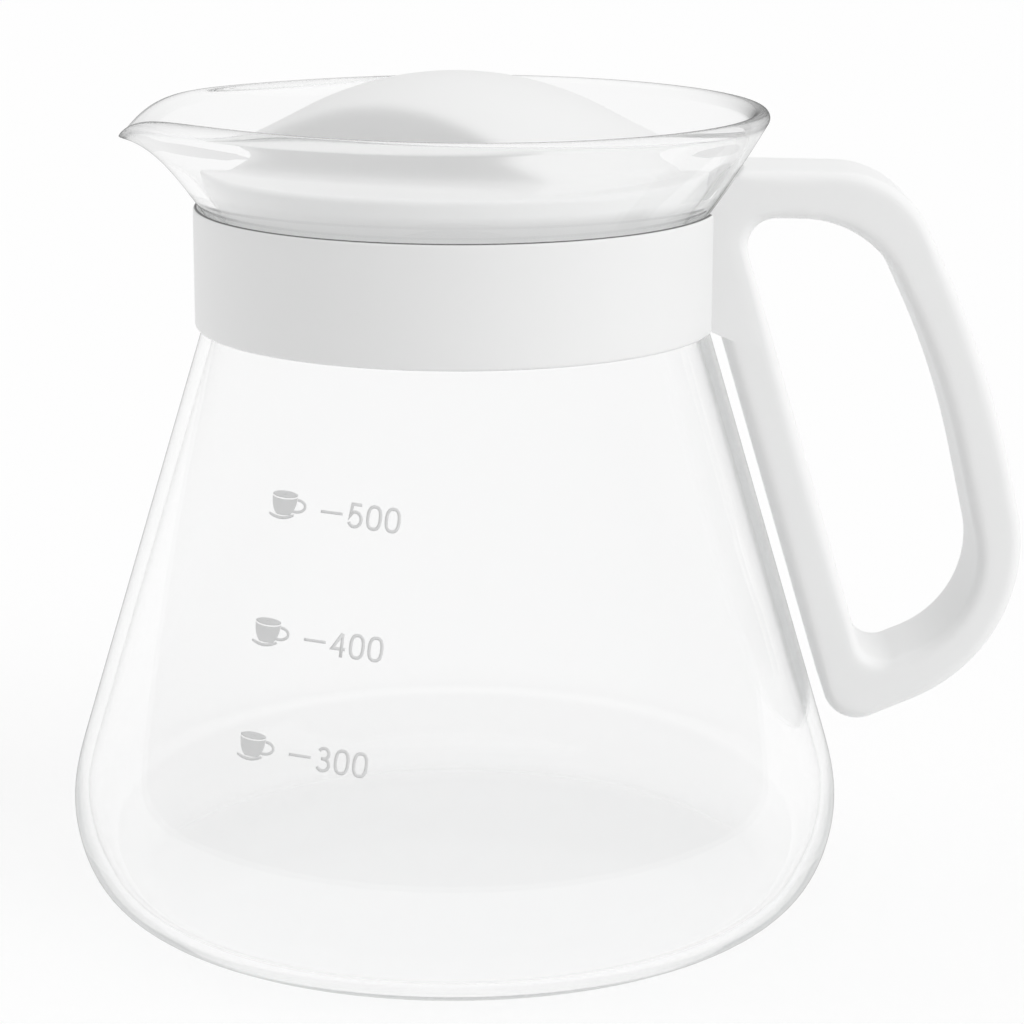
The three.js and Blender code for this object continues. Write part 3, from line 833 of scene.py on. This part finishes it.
# The filled bowl of the cup: from an upper edge that follows the front of the rim, a gap below it, to a
# flat bottom, its width closing in more and more towards the bottom.
def cupBowl():
    rows, columns = scale["cupGrid"]
    u = np.linspace(-1, 1, columns)[None, :]
    v = np.linspace(0, 1, rows)[:, None]
    even, late, power = scale["cupTaper"]
    half = scale["cupHalf"] * (1 - even * v - late * v ** power)
    front = scale["rimUp"] * np.sqrt(1 - scale["rimFollow"] * u ** 2)
    upper = scale["rimMiddle"] - front - scale["rimGap"]
    b = (1 - v) * upper + v * (scale["cupBottom"] - scale["cupSag"] * (1 - u ** 2))
    return np.stack([scale["cupMiddle"] + half * u, b + 0 * half], -1), gridFaces(rows, columns)


# The rim of the cup: a filled flat ellipse, as rings from its middle to its edge.
def cupRim():
    rows, columns = scale["rimGrid"]
    ring = np.linspace(0.02, 1, rows)[:, None]  # leaves a pinhole, so that no face is closed to a point
    turn = np.linspace(0, 2 * math.pi, columns, endpoint=False)[None, :]
    a = scale["cupMiddle"] + scale["cupHalf"] * ring * np.cos(turn)
    b = scale["rimMiddle"] + scale["rimUp"] * ring * np.sin(turn)
    return np.stack([a, b], -1), gridFaces(rows, columns, wrapColumns=True)


# One mark: the cup sign, the dash and the number, as flat grids in millimetres from the dash's middle.
def markParts(number):
    pen = scale["stroke"]
    parts = [stroke(np.linspace((scale["dash"][0], 0), (scale["dash"][1], 0), 9), scale["dashStroke"])]
    for place, digit in enumerate(str(number)):
        left = scale["digitLeft"] + place * scale["digitPitch"]
        for path in digitPaths(digit, scale["digitWidth"], scale["digitHeight"], pen):
            parts.append(stroke(path + (left, -scale["digitHeight"] / 2), pen, closed=digit == "0"))
    parts.append(cupRim())
    parts.append(cupBowl())
    parts.append(stroke(bow(*scale["cupHandle"]), scale["cupHandleStroke"]))
    sweep = np.linspace(-1, 1, 31)
    saucer = np.stack([scale["cupMiddle"] + scale["saucerShift"] + scale["saucerHalf"] * sweep,
                       scale["saucerFoot"] + scale["saucerRise"] * sweep ** 2], 1)
    parts.append(stroke(saucer, scale["saucerStroke"] - scale["saucerThinning"] * np.abs(sweep) ** 3))
    return parts


# Rolls flat marks onto the cone of the side: along the print is arc length at that height's radius, up
# the print is distance along the slant, and a straight line on the unrolled cone bends by its square
# over twice the distance to the cone's point.
def rolledOn(flat, azimuth, middle, proud):
    apex = outsideRadius(middle) / math.sin(lean)
    a, b = flat[..., 0], flat[..., 1]
    drop = (a - scale["level"]) ** 2 / (2 * apex) - scale["level"] ** 2 / (2 * apex)
    height = middle + (b - drop) * math.cos(lean)
    surface = coneRadius(height)
    angle = math.radians(azimuth) + a / surface
    radius = surface + proud * math.cos(lean)
    height = height + proud * math.sin(lean)
    return np.stack([radius * np.sin(angle), -radius * np.cos(angle), height], -1)


# Faces of a flat grid turned so that they run counter-clockwise: the sign of their summed areas says which.
def facingOut(flat, quads):
    a, b, c, d = np.moveaxis(np.reshape(flat, (-1, 2))[quads], 1, 0)
    area = np.sum((c - a)[:, 0] * (d - b)[:, 1] - (c - a)[:, 1] * (d - b)[:, 0])
    return quads if area > 0 else quads[:, ::-1]


printParts = [
    (rolledOn(flat, azimuth, middle, scale["proud"] + scale["overlap"] * (k % 2)), facingOut(flat, quads))
    for number, azimuth, middle in scale["marks"]
    for k, (flat, quads) in enumerate(markParts(number))
]
printPiece = makePiece("scale_print", *joined(printParts), greyInk, sharp=60, turnFaces=False)
inkDepth = printPiece.modifiers.new("ink", "SOLIDIFY")
inkDepth.thickness, inkDepth.offset = scale["ink"] * mm, 1
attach(printPiece, "jug")
print("scale printed")


# Studio: camera, floor, lamps and world

studio = {
    "focal": 3109.0, "frame": 1024.0, "sensor": 36.0,
    "eye": (8.32, -445.5, 167.2), "pitch": 13.87, "roll": 0.28,
    "floorDrop": 0.15, "floorHalf": 6000.0,
    "floorTone": 0.95,  # what light bounces off
    "floorShown": 0.42, "floorGlow": 0.575,  # to the camera and through glass: lit part and plain white
    "ambient": (0.27, 1.02),  # at the horizon and overhead
    # what gloss and glass see of the world, from behind the camera to in front of it
    "mirrored": {"From Min": -0.3, "From Max": 0.75, "To Min": 0.55, "To Max": 1.0},
    "lamps": {  # azimuth, elevation, spread in degrees, strength
        "keyLamp": (62, 40, 50, 1.42),
        "sideLamp": (-110, 30, 60, 0.52),
    },
}


def addCamera():
    data = bpy.data.cameras.new("camera")
    data.sensor_fit, data.sensor_width = "HORIZONTAL", studio["sensor"]
    data.lens = studio["focal"] / studio["frame"] * studio["sensor"]
    data.clip_start, data.clip_end = 0.01, 100
    camera = bpy.data.objects.new("camera", data)
    scene.collection.objects.link(camera)
    pitch = Matrix.Rotation(math.radians(90 - studio["pitch"]), 4, "X")
    roll = Matrix.Rotation(math.radians(studio["roll"]), 4, "Z")
    camera.matrix_world = Matrix.Translation([v * mm for v in studio["eye"]]) @ (pitch @ roll)
    scene.camera = camera


# 1 for what the camera sees, directly, mirrored or through glass; 0 for light that falls on surfaces.
def seenMask(nodes, links):
    path = nodes.new("ShaderNodeLightPath")
    total = nodes.new("ShaderNodeMath")
    total.operation = "ADD"
    links.new(path.outputs["Is Camera Ray"], total.inputs[0])
    links.new(path.outputs["Is Glossy Ray"], total.inputs[1])
    mask = nodes.new("ShaderNodeMath")
    mask.operation, mask.use_clamp = "ADD", True
    links.new(total.outputs[0], mask.inputs[0])
    links.new(path.outputs["Is Transmission Ray"], mask.inputs[1])
    return path, mask


def addFloor():
    material = bpy.data.materials.new("paleFloor")
    material.use_nodes = True
    nodes, links = material.node_tree.nodes, material.node_tree.links
    nodes.clear()
    output = nodes.new("ShaderNodeOutputMaterial")
    mask = seenMask(nodes, links)[1]
    bounce, shown = nodes.new("ShaderNodeBsdfDiffuse"), nodes.new("ShaderNodeBsdfDiffuse")
    bounce.inputs["Color"].default_value = (*[studio["floorTone"]] * 3, 1)
    shown.inputs["Color"].default_value = (*[studio["floorShown"]] * 3, 1)
    glow, both, mix = (nodes.new("ShaderNode" + kind) for kind in ("Emission", "AddShader", "MixShader"))
    glow.inputs["Strength"].default_value = studio["floorGlow"]
    links.new(shown.outputs[0], both.inputs[0])
    links.new(glow.outputs[0], both.inputs[1])
    links.new(mask.outputs[0], mix.inputs["Fac"])
    links.new(bounce.outputs[0], mix.inputs[1])
    links.new(both.outputs[0], mix.inputs[2])
    links.new(mix.outputs[0], output.inputs["Surface"])
    reach = np.linspace(-studio["floorHalf"], studio["floorHalf"], 3)
    x, y = np.meshgrid(reach, reach)
    points = np.stack([x, y, 0 * x - studio["floorDrop"]], -1)
    floor = makePiece("floor", points, gridFaces(3, 3).tolist(), material)


# The world: light on surfaces that grows from the horizon upwards, plain white to the camera, and to gloss
# and glass a studio that is bright in front of the lens and darker round it.
def addWorld():
    world = bpy.data.worlds.new("studio")
    scene.world = world
    world.use_nodes = True
    nodes, links = world.node_tree.nodes, world.node_tree.links
    nodes.clear()
    output, glow = nodes.new("ShaderNodeOutputWorld"), nodes.new("ShaderNodeBackground")
    path, mask = seenMask(nodes, links)
    place = nodes.new("ShaderNodeTexCoord")
    axes = nodes.new("ShaderNodeSeparateXYZ")
    links.new(place.outputs["Generated"], axes.inputs[0])
    ramp = nodes.new("ShaderNodeMapRange")
    ramp.interpolation_type = "SMOOTHSTEP"
    for socket, value in studio["mirrored"].items():
        ramp.inputs[socket].default_value = value
    links.new(axes.outputs["Y"], ramp.inputs["Value"])
    whole = nodes.new("ShaderNodeMix")
    links.new(path.outputs["Is Camera Ray"], whole.inputs["Factor"])
    links.new(ramp.outputs["Result"], whole.inputs["A"])
    whole.inputs["B"].default_value = 1.0
    level = nodes.new("ShaderNodeMix")
    links.new(mask.outputs[0], level.inputs["Factor"])
    sky = nodes.new("ShaderNodeMapRange")
    sky.inputs["To Min"].default_value, sky.inputs["To Max"].default_value = studio["ambient"]
    links.new(axes.outputs["Z"], sky.inputs["Value"])
    links.new(sky.outputs["Result"], level.inputs["A"])
    links.new(whole.outputs["Result"], level.inputs["B"])
    links.new(level.outputs["Result"], glow.inputs["Strength"])
    links.new(glow.outputs[0], output.inputs["Surface"])


# A soft far lamp: its azimuth runs from the front (-Y) towards the handle (+X), its spread is how wide it is.
def addLamp(name, azimuth, elevation, spread, strength):
    data = bpy.data.lights.new(name, "SUN")
    data.angle, data.energy = math.radians(spread), strength
    lamp = bpy.data.objects.new(name, data)
    scene.collection.objects.link(lamp)
    lamp.rotation_euler = (math.radians(90 - elevation), 0, math.radians(azimuth))
    lamp.visible_glossy = lamp.visible_transmission = False


addCamera()
addFloor()
addWorld()
for name, setting in studio["lamps"].items():
    addLamp(name, *setting)
scene.view_settings.view_transform = "Standard"
print("studio set")
